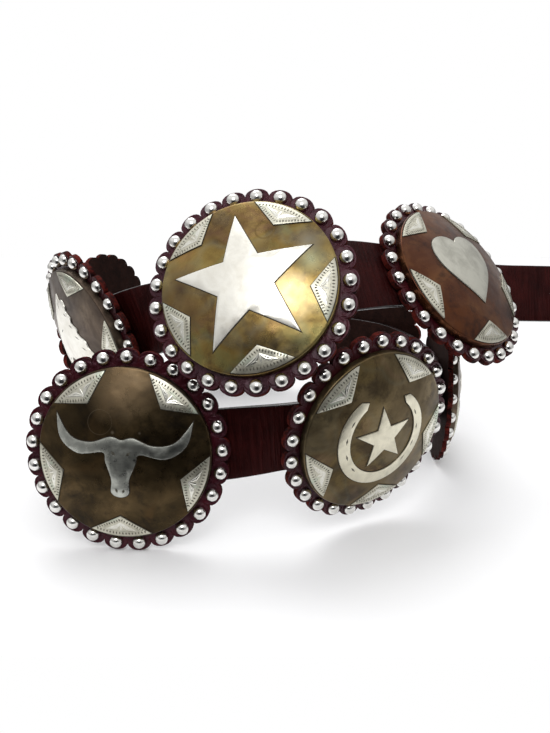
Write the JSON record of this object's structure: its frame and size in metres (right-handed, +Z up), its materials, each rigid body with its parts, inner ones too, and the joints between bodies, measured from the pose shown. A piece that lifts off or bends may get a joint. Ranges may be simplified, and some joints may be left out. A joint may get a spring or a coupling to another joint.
{
  "type": "concho belt",
  "caption": "Leather belt with large domed metal conchos on scalloped, studded leather rosettes, standing in a loose coil.",
  "frame": {"origin": "middle of the footprint of the coiled belt, on the surface it stands on", "axes": "+Z up, -Y towards the viewer who sees the star, steer and horseshoe faces, +X to that viewer's right"},
  "size_m": [0.403, 0.3292, 0.1838],
  "materials": {
    "leather": "dark burgundy brown, satin, darker in its creases",
    "brass": "antiqued, mottled patina; its soldered overlays are bright nickel silver",
    "nickel": "polished nickel",
    "steel": "plain"
  },
  "bodies": {
    "root": {"strap": "leather", "rosette_steer": "leather", "rosette_horseshoe": "leather", "rosette_right": "leather", "rosette_rear_right": "leather", "rosette_rear_left": "leather", "rosette_left_rear": "leather", "rosette_horse": "leather", "rosette_star": "leather", "rosette_heart": "leather", "studs_steer": "nickel", "studs_horseshoe": "nickel", "studs_right": "nickel", "studs_rear_right": "nickel", "studs_rear_left": "nickel", "studs_left_rear": "nickel", "studs_horse": "nickel", "studs_star": "nickel", "studs_heart": "nickel", "concho_steer": "brass", "concho_horseshoe": "brass", "concho_right": "brass", "concho_rear_right": "brass", "concho_rear_left": "brass", "concho_left_rear": "brass", "concho_horse": "brass", "concho_star": "brass", "concho_heart": "brass", "buckle_hook": "steel"}
  },
  "joints": []
}
